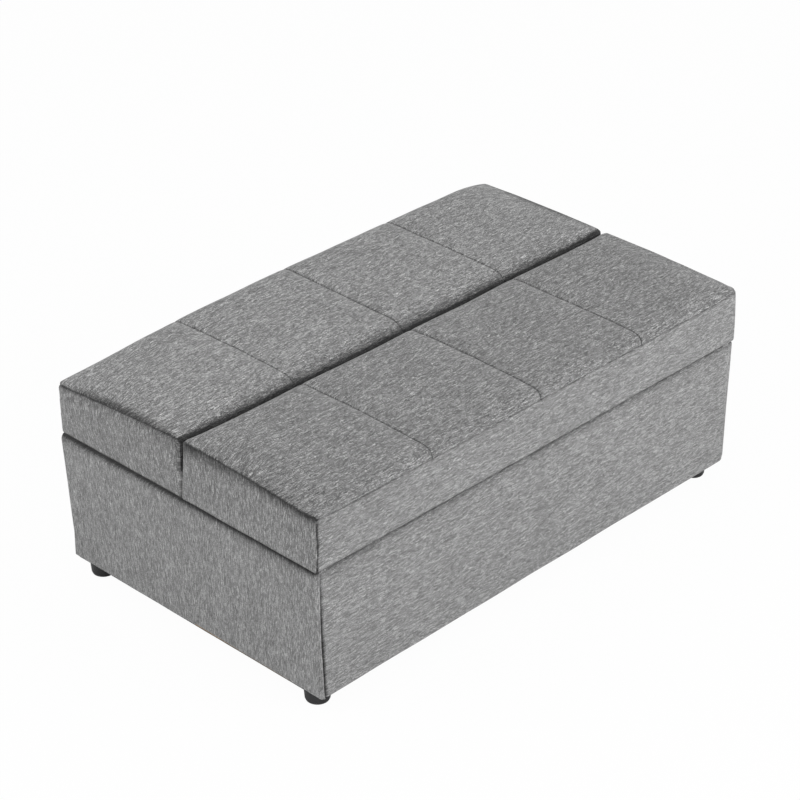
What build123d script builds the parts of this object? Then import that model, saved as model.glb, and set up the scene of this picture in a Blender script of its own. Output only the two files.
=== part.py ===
from build123d import *

import os
from math import asin, cos, radians, sin

# Storage sofa bed: a padded box base that carries two long cushions. Both are hinged at
# the split between them. The front one is the seat, and lifts as a storage lid. The rear
# one is the backrest, and clicks up from flat in steps.
# Sizes in millimetres. X runs along the length, the front is toward -Y, the floor is z = 0.

# Overall sizes
body_length = 1200.0
body_depth = 700.0
base_height = 284.0
base_inset = 3.0
lid_clearance = 2.0

# Feet
foot_height = 36.0
foot_radius = 27.0
foot_sole_radius = 24.5
foot_inset = 41.0
foot_edge = 6.0
foot_edge_share = 0.3
foot_bore_radius = 8.0
foot_bore_depth = 20.0
foot_screw_radius = 3.0
foot_screw_head_radius = 7.0
foot_screw_head_height = 4.0
foot_screw_bite = 9.0

# Base timber and its cloth
panel_thickness = 16.0
floor_thickness = 12.0
post_width = 35.0
cover_thickness = 8.0
cover_bulge = 2.0
cover_corner_radius = 6.0
rim_thickness = 4.0
underside_cloth_thickness = 1.5
rail_width = 50.0
rail_height = 70.0
rail_drop = 8.0
cleat_length = 40.0
cleat_height = 40.0
corner_screw_radius = 2.5
corner_screw_length = 34.0
corner_screw_head_radius = 4.5
corner_screw_head_height = 3.0
corner_screw_edge_share = 0.22
screw_sides = 8

# Cushions: heights are above the seam where the top panel meets the side boxing
split_gap = 8.0
boxing_height = 106.0
boxing_bulge = 2.0
end_bulge = 3.0
edge_roll = 34.0
seat_split_roll = (16.0, 16.0)
backrest_split_roll = (36.0, 30.0)
end_split_roll = (9.0, 9.0)
panel_count = 4
panel_shoulder_rise = 23.0
panel_crown_rise = 28.0
split_rise = 27.0
channel_depth = 7.0
channel_shoulder_share = 0.55
end_shoulder_rise = 7.0
end_crown_rise = 17.0
end_split_rise = 22.0
lower_split_round = 10.0
lower_edge_round = 4.0
cushion_cover_thickness = 3.0
hem_width = 35.0
lining_thickness = 1.5
board_thickness = 15.0
board_bevel = 7.0

# Hinge units, one near each end
hinge_inset = 150.0
hinge_depth = 25.0
hinge_plate = 4.0
plate_gap = 0.4
pin_radius = 5.0
pin_clearance = 0.06
pin_head_radius = 9.0
pin_head_height = 3.0
stand_boss_radius = 13.0
stand_valley_radius = 20.0
stand_valley_depth = 38.0
stand_leg_length = 52.0
stand_tab_length = 40.0
stand_hole_edge = 14.0
stand_bolt_radius = 4.0
bolt_head_radius = 7.5
bolt_head_height = 5.5
notch_clearance = 2.0
notch_side_room = 4.5
notch_foot_room = 12.0
notch_neck_rise = 8.5
notch_depth = 25.0
arm_head_radius = 12.0
arm_elbow_radius = 10.0
arm_reach = 80.0
arm_foot_length = 70.0
arm_foot_height = 16.0
arm_foot_width = 30.0
arm_screw_radius = 2.5
arm_screw_head_radius = 4.8
arm_screw_head_height = 2.5
arm_screw_length = 12.0
arm_screw_count = 2
arm_pocket_clearance = 1.0

# Ratchet
sector_radius = 34.0
tooth_depth = 4.0
tooth_width = 5.6
step_angle = 16.0
step_count = 5
pawl_angle = 290.0
pawl_length = 36.0
pawl_half_width = 4.0
pawl_hub_radius = 7.0
pawl_pin_radius = 4.0
pawl_pin_head_radius = 6.0
pawl_lift = 7.0
tooth_clearance = 0.4
sector_clearance = 0.7
spring_thickness = 1.0
spring_gap = 0.3
spring_post_radius = 3.0

# Worked out from the sizes above
base_bottom = foot_height
base_top = base_bottom + base_height
lid_bottom = base_top + lid_clearance
seam_height = lid_bottom + boxing_height
lid_top = seam_height + split_rise
half_length = body_length / 2
half_depth = body_depth / 2
base_half_length = half_length - base_inset
base_half_depth = half_depth - base_inset
timber_half_length = base_half_length - cover_thickness
timber_half_depth = base_half_depth - cover_thickness
timber_top = base_top - rim_thickness
floor_bottom = base_bottom + underside_cloth_thickness
floor_top = floor_bottom + floor_thickness
rail_top = base_top - rail_drop
rail_bottom = rail_top - rail_height
split_face = split_gap / 2
pin_offset = split_face + hinge_depth
pin_height = lid_top - hinge_depth
hinge_place = half_length - hinge_inset
board_bottom = lid_bottom + cushion_cover_thickness
board_top = board_bottom + board_thickness
panel_length = body_length / panel_count
arm_inner = hinge_place + hinge_plate / 2 + plate_gap
arm_outer = arm_inner + hinge_plate
stand_inner = hinge_place - hinge_plate / 2
notch_inner = stand_inner - pin_head_height - notch_side_room
notch_outer = arm_outer + plate_gap + pin_head_height + notch_side_room
foot_x = base_half_length - foot_inset
foot_y = base_half_depth - foot_inset
stand_half_width = pin_offset + stand_boss_radius
stand_leg_bottom = rail_top - stand_leg_length
arm_elbow = (pin_offset + arm_reach, board_top + arm_elbow_radius)
pawl_line = sector_radius + sector_clearance + pawl_half_width

os.makedirs("parts", exist_ok=True)


def save(piece, name):
    """Label one finished piece and write it."""
    piece.part.label = name
    export_step(piece.part, f"parts/{name}.step")


def polar(radius, angle, centre=(0, 0)):
    """The point at a radius and an angle from a centre."""
    return (centre[0] + radius * cos(radians(angle)), centre[1] + radius * sin(radians(angle)))


def cross_plane(x, side=1):
    """A plane across the length, its first axis running outward on one side of the split."""
    return Plane(origin=(x, 0, 0), x_dir=(0, side, 0), z_dir=(side, 0, 0))


def screw_outline(radius, mode=Mode.ADD):
    """The section of a screw or bolt, or of the hole that it fills, with few sides to keep it light."""
    return RegularPolygon(radius, screw_sides, mode=mode)


# Feet

def make_foot(name, x_side, y_side):
    """One turned plastic foot with a bore for its screw."""
    centre = (x_side * foot_x, y_side * foot_y, 0)
    edge_step = foot_edge_share * foot_edge
    with BuildPart() as foot:
        with BuildSketch(Plane(origin=centre, x_dir=(1, 0, 0), z_dir=(0, -1, 0))):
            with BuildLine():
                Polyline(
                    (0, foot_bore_depth),
                    (foot_bore_radius, foot_bore_depth),
                    (foot_bore_radius, 0),
                    (foot_sole_radius - foot_edge, 0),
                    (foot_sole_radius - edge_step, edge_step),
                    (foot_sole_radius, foot_edge),
                    (foot_radius, foot_height),
                    (0, foot_height),
                    (0, foot_bore_depth),
                )
            make_face()
        revolve(axis=Axis(centre, (0, 0, 1)))
        with BuildSketch(Plane(origin=(centre[0], centre[1], foot_bore_depth))):
            screw_outline(foot_screw_radius)
        extrude(amount=foot_height - foot_bore_depth, mode=Mode.SUBTRACT)
    save(foot, name)


def foot_places():
    """The four foot centres, as spacings for a grid."""
    return GridLocations(2 * foot_x, 2 * foot_y, 2, 2)


def make_foot_screws():
    """One wood screw up through each foot into the floor panel."""
    with BuildPart() as screws:
        with BuildSketch(Plane.XY.offset(foot_bore_depth - foot_screw_head_height)):
            with foot_places():
                screw_outline(foot_screw_head_radius)
        extrude(amount=foot_screw_head_height)
        with BuildSketch(Plane.XY.offset(foot_bore_depth)):
            with foot_places():
                screw_outline(foot_screw_radius)
        extrude(amount=floor_bottom + foot_screw_bite - foot_bore_depth)
    save(screws, "foot_screws")


# Base timber

def make_floor_panel():
    """The storage floor, which also ties the four walls together."""
    with BuildPart() as floor:
        with BuildSketch(Plane.XY.offset(floor_bottom)):
            Rectangle(2 * timber_half_length, 2 * timber_half_depth)
        extrude(amount=floor_thickness)
        with BuildSketch(Plane.XY.offset(floor_bottom)):
            with foot_places():
                screw_outline(foot_screw_radius)
        extrude(amount=foot_screw_bite, mode=Mode.SUBTRACT)
    save(floor, "storage_floor")


def make_underside_cloth():
    """The thin cloth stapled under the floor panel."""
    with BuildPart() as cloth:
        with BuildSketch(Plane.XY.offset(base_bottom)):
            Rectangle(2 * timber_half_length, 2 * timber_half_depth)
            with foot_places():
                screw_outline(foot_screw_radius, Mode.SUBTRACT)
        extrude(amount=underside_cloth_thickness)
    save(cloth, "underside_cloth")


def screw_heights():
    """The two heights at which the wall panels are screwed to a corner post."""
    wall_height = timber_top - floor_top
    edge = corner_screw_edge_share * wall_height
    return (floor_top + edge, timber_top - edge)


def make_long_wall(name, side):
    """The front or rear timber wall, between the two end walls."""
    with BuildPart() as wall:
        with BuildSketch(Plane.XY.offset(floor_top)):
            with Locations((0, side * (timber_half_depth - panel_thickness / 2))):
                Rectangle(2 * (timber_half_length - panel_thickness), panel_thickness)
        extrude(amount=timber_top - floor_top)
    save(wall, name)


def make_end_wall(name, side):
    """The left or right timber wall, drilled for the screws into the corner posts."""
    outer = side * timber_half_length
    with BuildPart() as wall:
        with BuildSketch(Plane.XY.offset(floor_top)):
            with Locations((side * (timber_half_length - panel_thickness / 2), 0)):
                Rectangle(panel_thickness, 2 * timber_half_depth)
        extrude(amount=timber_top - floor_top)
        with BuildSketch(Plane(origin=(outer, 0, 0), x_dir=(0, 1, 0), z_dir=(side, 0, 0))):
            with Locations(*end_screw_places(side)):
                screw_outline(corner_screw_radius)
        extrude(amount=-panel_thickness, mode=Mode.SUBTRACT)
        with BuildSketch(Plane(origin=(outer, 0, 0), x_dir=(0, 1, 0), z_dir=(side, 0, 0))):
            with Locations(*end_screw_places(side)):
                screw_outline(corner_screw_head_radius)
        extrude(amount=-corner_screw_head_height, mode=Mode.SUBTRACT)
    save(wall, name)


def end_screw_places(side):
    """Where the screws cross an end wall, in its own plane, whose height axis turns with the side."""
    post_y = timber_half_depth - panel_thickness - post_width / 2
    return [(y, side * z) for y in (-post_y, post_y) for z in screw_heights()]


def make_corner_screws():
    """Countersunk screws that hold both end walls to the corner posts."""
    with BuildPart() as screws:
        for side in (-1, 1):
            outer = Plane(
                origin=(side * timber_half_length, 0, 0), x_dir=(0, 1, 0), z_dir=(side, 0, 0)
            )
            with BuildSketch(outer):
                with Locations(*end_screw_places(side)):
                    screw_outline(corner_screw_radius)
            extrude(amount=-corner_screw_length)
            with BuildSketch(outer):
                with Locations(*end_screw_places(side)):
                    screw_outline(corner_screw_head_radius)
            extrude(amount=-corner_screw_head_height)
    save(screws, "corner_screws")


def make_corner_post(name, x_side, y_side):
    """A square timber post in one corner of the box."""
    inner_x = timber_half_length - panel_thickness
    inner_y = timber_half_depth - panel_thickness
    with BuildPart() as post:
        with BuildSketch(Plane.XY.offset(floor_top)):
            with Locations((x_side * (inner_x - post_width / 2), y_side * (inner_y - post_width / 2))):
                Rectangle(post_width, post_width)
        extrude(amount=rail_top - floor_top)
        with BuildSketch(Plane(origin=(x_side * inner_x, 0, 0), x_dir=(0, 1, 0), z_dir=(x_side, 0, 0))):
            with Locations(*end_screw_places(x_side)):
                screw_outline(corner_screw_radius)
        extrude(amount=panel_thickness - corner_screw_length, mode=Mode.SUBTRACT)
    save(post, name)


def bolt_places():
    """Where the stand bolts cross the rail, on a plane that faces the front or the rear."""
    tab_centre = stand_inner - stand_tab_length / 2
    edge = stand_hole_edge
    return [
        (side * tab_centre, height)
        for side in (-1, 1)
        for height in (stand_leg_bottom + edge, rail_top - edge)
    ]


def make_centre_rail():
    """The timber rail under the split, which carries the hinge stands."""
    rail_half_length = timber_half_length - panel_thickness
    with BuildPart() as rail:
        with BuildSketch(Plane.XY.offset(rail_bottom)):
            Rectangle(2 * rail_half_length, rail_width)
        extrude(amount=rail_height)
        with BuildSketch(Plane.XZ.offset(-rail_width / 2)):
            with Locations(*bolt_places()):
                screw_outline(stand_bolt_radius)
        extrude(amount=rail_width, mode=Mode.SUBTRACT)
    save(rail, "centre_rail")


def make_rail_cleat(name, side):
    """A timber cleat on an end wall, under one end of the centre rail."""
    wall_face = timber_half_length - panel_thickness
    with BuildPart() as cleat:
        with BuildSketch(Plane.XY.offset(rail_bottom - cleat_height)):
            with Locations((side * (wall_face - cleat_length / 2), 0)):
                Rectangle(cleat_length, rail_width)
        extrude(amount=cleat_height)
        inner_edges = cleat.edges().filter_by(Axis.Y).group_by(Axis.Z)[0]
        chamfer(inner_edges.sort_by(Axis.X)[0 if side > 0 else -1], cleat_length / 2)
    save(cleat, name)


# Base cover, four sewn panels that turn in over the rim of the box

def make_long_cover(name, side):
    """The front or rear panel of the base cover, slightly crowned by its padding."""
    half = base_half_length - cover_thickness
    outer = side * base_half_depth
    flat = outer - side * cover_bulge
    inner = side * timber_half_depth
    with BuildPart() as cover:
        with BuildSketch(Plane.XY.offset(base_bottom)):
            with BuildLine():
                ThreePointArc((-half, flat), (0, outer), (half, flat))
                Polyline((half, flat), (half, inner), (-half, inner), (-half, flat))
            make_face()
        extrude(amount=timber_top - base_bottom)
        rim_inner = side * (timber_half_depth - panel_thickness)
        with BuildSketch(Plane.XY.offset(timber_top)):
            with BuildLine():
                ThreePointArc((-half, flat), (0, outer), (half, flat))
                Polyline((half, flat), (half, rim_inner), (-half, rim_inner), (-half, flat))
            make_face()
        extrude(amount=rim_thickness)
        outer_face = cover.faces().filter_by(GeomType.CYLINDER).sort_by(Axis.Z)
        rim_edges = outer_face[-1].edges().group_by(Axis.Z)[-1]
        fillet(rim_edges, rim_thickness / 2)
    save(cover, name)


def make_end_cover(name, side):
    """The left or right panel of the base cover, which turns both corners up to the seams."""
    outer = side * base_half_length
    flat = outer - side * cover_bulge
    inner = side * timber_half_length
    rim_inner = side * (timber_half_length - panel_thickness)
    rim_half = timber_half_depth - panel_thickness
    half = base_half_depth - cover_bulge
    with BuildPart() as cover:
        with BuildSketch(Plane.XY.offset(base_bottom)):
            with BuildLine():
                ThreePointArc((flat, -half), (outer, 0), (flat, half))
                Polyline((flat, half), (inner, half), (inner, -half), (flat, -half))
            make_face()
        extrude(amount=timber_top - base_bottom)
        with BuildSketch(Plane.XY.offset(timber_top)):
            with BuildLine():
                ThreePointArc((flat, -half), (outer, 0), (flat, half))
                Polyline(
                    (flat, half),
                    (inner, half),
                    (inner, rim_half),
                    (rim_inner, rim_half),
                    (rim_inner, -rim_half),
                    (inner, -rim_half),
                    (inner, -half),
                    (flat, -half),
                )
            make_face()
        extrude(amount=rim_thickness)
        corner_edges = cover.edges().filter_by(Axis.Z).group_by(Axis.X)[0 if side < 0 else -1]
        fillet(corner_edges, cover_corner_radius)
    save(cover, name)


# Cushions

def lid_section(x, side, rises, roll, inset=0.0, bottom=lid_bottom):
    """One cross-section of a cushion: boxing, rolled outer edge, crown and roll at the split."""
    shoulder, crown, split_top = rises
    wide = roll[0] - inset
    deep = roll[1] - inset
    inner = split_face + inset
    outer = half_depth - boxing_bulge - inset
    top = seam_height - inset
    low_round = lower_split_round if inset == 0 else board_bevel
    edge_round = lower_edge_round
    shoulder_point = (outer - edge_roll + inset, top + shoulder)
    split_point = (inner + wide, top + split_top)
    crown_point = ((shoulder_point[0] + split_point[0]) / 2, top + crown)
    roll_middle = (
        outer - edge_roll * (1 - cos(radians(45))),
        top + shoulder * sin(radians(60)),
    )
    split_middle = (
        inner + wide * (1 - cos(radians(45))),
        top + split_top - deep * (1 - sin(radians(45))),
    )
    bulge_middle = (outer + boxing_bulge, (seam_height + lid_bottom) / 2)
    with BuildSketch(cross_plane(x, side)) as section:
        with BuildLine():
            ThreePointArc(
                (inner + low_round, bottom),
                polar(low_round, 225, (inner + low_round, bottom + low_round)),
                (inner, bottom + low_round),
            )
            Line((inner, bottom + low_round), (inner, top + split_top - deep))
            ThreePointArc((inner, top + split_top - deep), split_middle, split_point)
            ThreePointArc(split_point, crown_point, shoulder_point)
            ThreePointArc(shoulder_point, roll_middle, (outer, top))
            ThreePointArc((outer, top), bulge_middle, (outer, bottom + edge_round))
            ThreePointArc(
                (outer, bottom + edge_round),
                polar(edge_round, -45, (outer - edge_round, bottom + edge_round)),
                (outer - edge_round, bottom),
            )
            Line((outer - edge_round, bottom), (inner + low_round, bottom))
        make_face()
    return section.sketch


def channel_rises():
    """How far a cushion's top rises above the seam height where a channel is sewn across it."""
    return (
        panel_shoulder_rise - channel_depth * channel_shoulder_share,
        panel_crown_rise - channel_depth,
        split_rise - channel_depth * channel_shoulder_share,
    )


def cushion_form(side):
    """The padded body of one cushion: puffed panels between sewn channels, with soft ends."""
    middle = (panel_shoulder_rise, panel_crown_rise, split_rise)
    end = (end_shoulder_rise, end_crown_rise, end_split_rise)
    roll = seat_split_roll if side < 0 else backrest_split_roll
    last = half_length - end_bulge
    lines = [-last, *(k * panel_length - half_length for k in range(1, panel_count)), last]
    with BuildPart() as form:
        for first, second in zip(lines, lines[1:]):
            sections = [
                (end, end_split_roll) if abs(x) == last else (channel_rises(), roll)
                for x in (first, second)
            ]
            loft([
                lid_section(first, side, *sections[0]),
                lid_section((first + second) / 2, side, middle, roll),
                lid_section(second, side, *sections[1]),
            ])
        for end_side in (-1, 1):
            loft(
                [
                    lid_section(end_side * last, side, end, end_split_roll),
                    lid_section(
                        end_side * half_length, side, end, end_split_roll, end_bulge,
                        lid_bottom + end_bulge,
                    ),
                ],
                ruled=True,
            )
    return form.part


def foam_form(side):
    """The foam of one cushion: a flat-topped block under the quilted cover, lower at its ends."""
    inset = cushion_cover_thickness
    roll = seat_split_roll if side < 0 else backrest_split_roll
    end = (end_shoulder_rise, end_crown_rise, end_split_rise)
    last = half_length - end_bulge - inset
    flat = half_length - panel_length
    with BuildPart() as foam:
        for end_side in (-1, 1):
            loft(
                [
                    lid_section(end_side * last, side, end, end_split_roll, inset, board_top),
                    lid_section(end_side * flat, side, channel_rises(), roll, inset, board_top),
                ],
                ruled=True,
            )
        loft(
            [
                lid_section(end_side * flat, side, channel_rises(), roll, inset, board_top)
                for end_side in (-1, 1)
            ],
            ruled=True,
        )
    return foam.part


def layer_plane(x_from, x_to, side):
    """The plane from which a layer between two places along the length is extruded."""
    return cross_plane(x_from if side > 0 else x_to, side)


def notch_form(side):
    """The pair of slots in a cushion that leave room for the stands, arms and pawls."""
    reach = stand_boss_radius + notch_clearance
    neck = pin_offset + reach
    foot = neck + notch_foot_room
    lip_angle = 180 - asin(notch_neck_rise / reach) / radians(1)
    lip = polar(reach, lip_angle, (pin_offset, pin_height))
    with BuildPart() as notches:
        with BuildSketch(layer_plane(notch_inner, notch_outer, side)):
            with BuildLine():
                Polyline(
                    lip,
                    (0, pin_height + notch_neck_rise),
                    (0, lid_bottom - notch_depth),
                    (foot, lid_bottom - notch_depth),
                    (foot, pin_height - notch_depth),
                    (neck, pin_height - reach),
                    (neck, pin_height),
                )
                ThreePointArc(
                    (neck, pin_height), polar(reach, lip_angle / 2, (pin_offset, pin_height)), lip
                )
            make_face()
        extrude(amount=notch_outer - notch_inner)
        mirror(about=Plane.YZ)
    return notches.part


def board_form(side):
    """The plywood board of one cushion before it is cut, bevelled along the split."""
    inner = split_face + cushion_cover_thickness
    outer = half_depth - boxing_bulge - cushion_cover_thickness
    board_half_length = half_length - end_bulge - cushion_cover_thickness
    with BuildPart() as board:
        with BuildSketch(cross_plane(-side * board_half_length, side)):
            with BuildLine():
                Polyline(
                    (inner + board_bevel, board_bottom),
                    (outer, board_bottom),
                    (outer, board_top),
                    (inner, board_top),
                    (inner, board_bottom + board_bevel),
                    (inner + board_bevel, board_bottom),
                )
            make_face()
        extrude(amount=2 * board_half_length)
    return board.part


def lining_size():
    """The length and depth of the opening that the hem leaves under a cushion."""
    return (2 * (half_length - hem_width), half_depth - boxing_bulge - split_face - 2 * hem_width)


def lining_centre(side):
    """The middle of that opening."""
    return (0, side * (split_face + half_depth - boxing_bulge) / 2)


def arm_screw_places(side):
    """Where the screws of both arms of one cushion go through into its board."""
    first = pin_offset + arm_reach
    step = arm_foot_length / arm_screw_count
    x = arm_outer + arm_foot_width / 2
    return [
        (end * x, side * (first + (index + 0.5) * step))
        for end in (-1, 1)
        for index in range(arm_screw_count)
    ]


def arm_pocket_form(side):
    """The pair of pockets in a foam that take the arms on top of the board."""
    grow = arm_pocket_clearance
    foot_start = pin_offset + arm_reach - arm_elbow_radius
    foot_end = pin_offset + arm_reach + arm_foot_length
    flange_top = board_top + hinge_plate + arm_screw_head_height + grow
    with BuildPart() as pockets:
        with BuildSketch(layer_plane(arm_inner - grow, arm_outer + grow, side)):
            with Locations((pin_offset, pin_height)):
                Circle(arm_head_radius + grow)
            with Locations(arm_elbow):
                Circle(arm_elbow_radius + grow)
            make_hull()
            with Locations(((foot_start + foot_end) / 2, board_top + arm_foot_height / 2)):
                Rectangle(foot_end - foot_start + 2 * grow, arm_foot_height + 2 * grow)
        extrude(amount=hinge_plate + 2 * grow)
        with BuildSketch(Plane.XY.offset(board_top)):
            with Locations((arm_outer + arm_foot_width / 2, side * (foot_start + foot_end) / 2)):
                Rectangle(arm_foot_width + 2 * grow, foot_end - foot_start + 2 * grow)
        extrude(amount=flange_top - board_top)
        mirror(about=Plane.YZ)
    return pockets.part


def make_cushion(prefix, side):
    """Board, foam, sewn cover and underside lining of one cushion."""
    foam_body = foam_form(side)
    board_body = board_form(side)
    notches = notch_form(side)

    with BuildPart() as cover:
        add(cushion_form(side))
        add(foam_body, mode=Mode.SUBTRACT)
        add(board_body, mode=Mode.SUBTRACT)
        with BuildSketch(Plane.XY.offset(lid_bottom)):
            with Locations(lining_centre(side)):
                Rectangle(*lining_size())
        extrude(amount=cushion_cover_thickness, mode=Mode.SUBTRACT)
        add(notches, mode=Mode.SUBTRACT)
    save(cover, f"{prefix}_cover")

    with BuildPart() as foam:
        add(foam_body)
        add(notches, mode=Mode.SUBTRACT)
        add(arm_pocket_form(side), mode=Mode.SUBTRACT)
    save(foam, f"{prefix}_foam")

    with BuildPart() as board:
        add(board_body)
        add(notches, mode=Mode.SUBTRACT)
        with BuildSketch(Plane.XY.offset(board_top)):
            with Locations(*arm_screw_places(side)):
                screw_outline(arm_screw_radius)
        extrude(amount=hinge_plate - arm_screw_length, mode=Mode.SUBTRACT)
    save(board, f"{prefix}_board")

    with BuildPart() as lining:
        with BuildSketch(Plane.XY.offset(board_bottom - lining_thickness)):
            with Locations(lining_centre(side)):
                Rectangle(*lining_size())
        extrude(amount=lining_thickness)
        add(notches, mode=Mode.SUBTRACT)
    save(lining, f"{prefix}_lining")


# Hinge units: the right one is modelled, and the left one is its mirror image

def save_pair(piece, name):
    """Write the right-hand piece and its mirror image on the left."""
    save(piece, f"{name}_right")
    with BuildPart() as other:
        mirror(piece.part, about=Plane.YZ)
    save(other, f"{name}_left")


def pawl_place(lift=pawl_lift):
    """The pawl pivot, and the direction of the pawl when it is swung clear by a lift."""
    seated = pawl_angle - 270
    nose = polar(pawl_line, pawl_angle, (pin_offset, pin_height))
    return polar(-pawl_length, seated, nose), seated - lift


def pawl_plane(x):
    """A plane along the lifted pawl, with its origin at the pawl pivot."""
    pivot, angle = pawl_place()
    along = (0, cos(radians(angle)), sin(radians(angle)))
    return Plane(origin=(x, *pivot), x_dir=along, z_dir=(1, 0, 0))


def make_stand():
    """The bent steel stand that straddles the rail and carries both hinge pins."""
    leg_width = stand_half_width - rail_width / 2
    leg_middle = (stand_leg_bottom + rail_top) / 2
    valley_floor = pin_height - stand_valley_depth + stand_valley_radius
    with BuildPart() as stand:
        with BuildSketch(cross_plane(stand_inner)):
            with Locations((0, (rail_top + pin_height) / 2)):
                Rectangle(2 * stand_half_width, pin_height - rail_top)
            with Locations((-pin_offset, pin_height), (pin_offset, pin_height)):
                Circle(stand_boss_radius)
            with Locations((0, valley_floor)):
                Circle(stand_valley_radius, mode=Mode.SUBTRACT)
            with Locations((0, valley_floor + stand_valley_depth / 2)):
                Rectangle(2 * stand_valley_radius, stand_valley_depth, mode=Mode.SUBTRACT)
            with Locations(*[(end * (rail_width + leg_width) / 2, leg_middle) for end in (-1, 1)]):
                Rectangle(leg_width, stand_leg_length)
            with Locations((-pin_offset, pin_height), (pin_offset, pin_height)):
                Circle(pin_radius, mode=Mode.SUBTRACT)
            with Locations(pawl_place()[0]):
                Circle(pawl_pin_radius, mode=Mode.SUBTRACT)
        extrude(amount=hinge_plate)
        tab_centre = stand_inner - stand_tab_length / 2
        with BuildSketch(Plane.XY.offset(stand_leg_bottom)):
            with Locations(*[(tab_centre, end * (rail_width + hinge_plate) / 2) for end in (-1, 1)]):
                Rectangle(stand_tab_length, hinge_plate)
        extrude(amount=stand_leg_length)
        with BuildSketch(Plane.XZ.offset(-stand_half_width)):
            with Locations(*bolt_places()):
                screw_outline(stand_bolt_radius)
        extrude(amount=2 * stand_half_width, mode=Mode.SUBTRACT)
        with BuildSketch(pawl_plane(stand_inner)):
            with Locations(spring_post_place()):
                Circle(spring_post_radius)
        extrude(amount=hinge_plate, mode=Mode.SUBTRACT)
    save_pair(stand, "hinge_stand")


def make_stand_fasteners():
    """Bolts and nuts that clamp the stands to the rail."""
    clamp = rail_width / 2 + hinge_plate
    with BuildPart() as bolts:
        with BuildSketch(Plane.XZ.offset(clamp)):
            with Locations(*bolt_places()):
                RegularPolygon(bolt_head_radius, 6)
        extrude(amount=bolt_head_height)
        with BuildSketch(Plane.XZ.offset(clamp)):
            with Locations(*bolt_places()):
                screw_outline(stand_bolt_radius)
        extrude(amount=-2 * clamp - bolt_head_height)
    save(bolts, "stand_bolts")
    with BuildPart() as nuts:
        with BuildSketch(Plane.XZ.offset(-clamp)):
            with Locations(*bolt_places()):
                RegularPolygon(bolt_head_radius, 6)
                screw_outline(stand_bolt_radius, Mode.SUBTRACT)
        extrude(amount=-bolt_head_height)
    save(nuts, "stand_nuts")


def make_rivets(name, places, radius, head_radius):
    """Headed pins on both hinge units, each through its stand and the plate that turns on it."""
    shank = arm_outer + plate_gap - stand_inner
    layers = (
        (stand_inner - pin_head_height, head_radius, pin_head_height),
        (stand_inner, radius, shank),
        (stand_inner + shank, head_radius, pin_head_height),
    )
    with BuildPart() as rivets:
        for x, size, length in layers:
            with BuildSketch(cross_plane(x)):
                with Locations(*places):
                    Circle(size)
            extrude(amount=length)
        mirror(about=Plane.YZ)
    save(rivets, name)


def spring_post_place():
    """The spring post, in the plane along the lifted pawl."""
    return (spring_post_radius, -(pawl_hub_radius + spring_gap + spring_thickness + spring_post_radius))


def make_pawl():
    """The pawl, a flat lever with one tooth, swung clear of the sector."""
    tip_line = pawl_line - sector_radius
    half_tooth = tooth_width / 2
    clear = tooth_clearance
    with BuildPart() as pawl:
        with BuildSketch(pawl_plane(arm_inner)):
            Circle(pawl_hub_radius)
            with Locations((pawl_length, 0)):
                Circle(pawl_half_width)
            make_hull()
            with BuildLine():
                Polyline(
                    (pawl_length - half_tooth + 2 * clear, 0),
                    (pawl_length - half_tooth + 2 * clear, tip_line),
                    (pawl_length + half_tooth - 1.5 * clear, tip_line + tooth_depth - 3 * clear),
                    (pawl_length + half_tooth - clear, tip_line),
                    (pawl_length + half_tooth - clear, 0),
                    (pawl_length - half_tooth + 2 * clear, 0),
                )
            make_face()
            Circle(pawl_pin_radius + pin_clearance, mode=Mode.SUBTRACT)
        extrude(amount=hinge_plate)
    save_pair(pawl, "pawl")


def make_pawl_springs():
    """Leaf springs that lie along the pawls, each hooked round a post on its stand."""
    post = spring_post_place()
    half = spring_thickness / 2
    start = (post[0], post[1] + spring_post_radius + half)
    end = (pawl_length - pawl_half_width, -(pawl_half_width + 2 * spring_gap + half))
    with BuildPart() as springs:
        with BuildSketch(pawl_plane(arm_inner)):
            with Locations(start, end):
                Circle(half)
            make_hull()
            with Locations(post):
                Circle(spring_post_radius + spring_thickness)
            with Locations(post):
                Circle(spring_post_radius, mode=Mode.SUBTRACT)
        extrude(amount=hinge_plate)
        mirror(about=Plane.YZ)
    save(springs, "pawl_springs")
    with BuildPart() as posts:
        with BuildSketch(pawl_plane(stand_inner)):
            with Locations(post):
                Circle(spring_post_radius)
        extrude(amount=arm_outer - stand_inner)
        mirror(about=Plane.YZ)
    save(posts, "spring_posts")


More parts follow.
